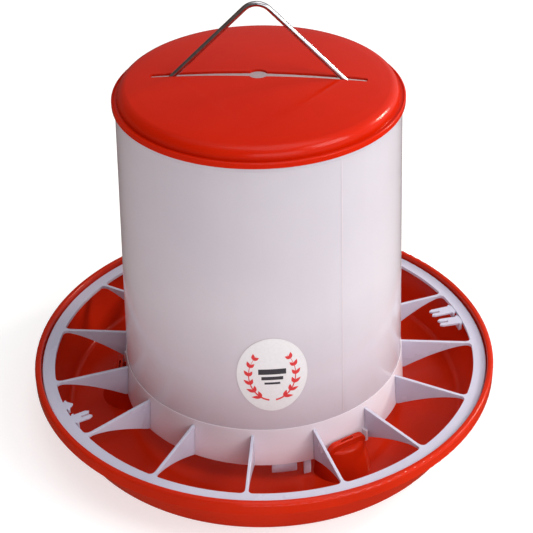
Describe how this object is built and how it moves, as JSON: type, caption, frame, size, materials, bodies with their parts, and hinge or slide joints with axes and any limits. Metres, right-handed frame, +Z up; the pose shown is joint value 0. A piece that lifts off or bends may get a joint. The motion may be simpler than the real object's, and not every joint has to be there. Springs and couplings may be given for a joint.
{
  "type": "gravity poultry feeder",
  "caption": "Hanging or standing gravity feeder for poultry: round flared pan, finned anti-waste grille, tall tapered hopper, slotted lid and wire bail.",
  "frame": {"origin": "centre of the pan's flat underside", "axes": "+Z up along the hopper's axis; X along the handle's pivot line and the lid's slot; -Y towards the viewer's side, where the label is"},
  "size_m": [0.4128, 0.4128, 0.3839],
  "materials": {
    "red_plastic": "glossy orange-red moulded polypropylene",
    "barrel_plastic": "glossy translucent natural polyethylene",
    "grille_plastic": "satin milky white moulded polypropylene",
    "steel_wire": "bright galvanised steel wire",
    "label_print": "printed adhesive label, semi-gloss"
  },
  "bodies": {
    "pan": {"feed_cone": "red_plastic", "pan_floor": "red_plastic", "pan_wall": "red_plastic", "pan_rim": "red_plastic", "lock_post_1": "red_plastic", "lock_post_2": "red_plastic", "lock_post_3": "red_plastic"},
    "hopper": {"hopper_barrel": "barrel_plastic", "grille_collar": "grille_plastic", "grille_ring": "grille_plastic", "step_tab_1": "grille_plastic", "stop_tab_1": "grille_plastic", "step_tab_2": "grille_plastic", "stop_tab_2": "grille_plastic", "step_tab_3": "grille_plastic", "stop_tab_3": "grille_plastic", "fin_01": "grille_plastic", "fin_02": "grille_plastic", "fin_03": "grille_plastic", "fin_04": "grille_plastic", "fin_05": "grille_plastic", "fin_06": "grille_plastic", "fin_07": "grille_plastic", "fin_08": "grille_plastic", "fin_09": "grille_plastic", "fin_10": "grille_plastic", "fin_11": "grille_plastic", "fin_12": "grille_plastic", "fin_13": "grille_plastic", "fin_14": "grille_plastic", "fin_15": "grille_plastic", "ring_clip_1": "grille_plastic", "ring_clip_2": "grille_plastic", "ring_clip_3": "grille_plastic", "ring_clip_4": "grille_plastic", "handle_lug_left": "barrel_plastic", "handle_lug_right": "barrel_plastic", "label": "label_print"},
    "lid": {"lid": "red_plastic"},
    "handle": {"handle_wire": "steel_wire"}
  },
  "joints": [
    {"name": "hopper_lift", "type": "slide", "parent": "pan", "child": "hopper", "axis": [0, 0, 1], "range_m": [0, 0.08]},
    {"name": "lid_lift", "type": "slide", "parent": "hopper", "child": "lid", "axis": [0, 0, 1], "range_m": [0, 0.1]},
    {"name": "handle_swing", "type": "hinge", "parent": "hopper", "child": "handle", "pos_m": [0, 0, 0.288], "axis": [1, 0, 0], "range_deg": [-1, 1]}
  ]
}
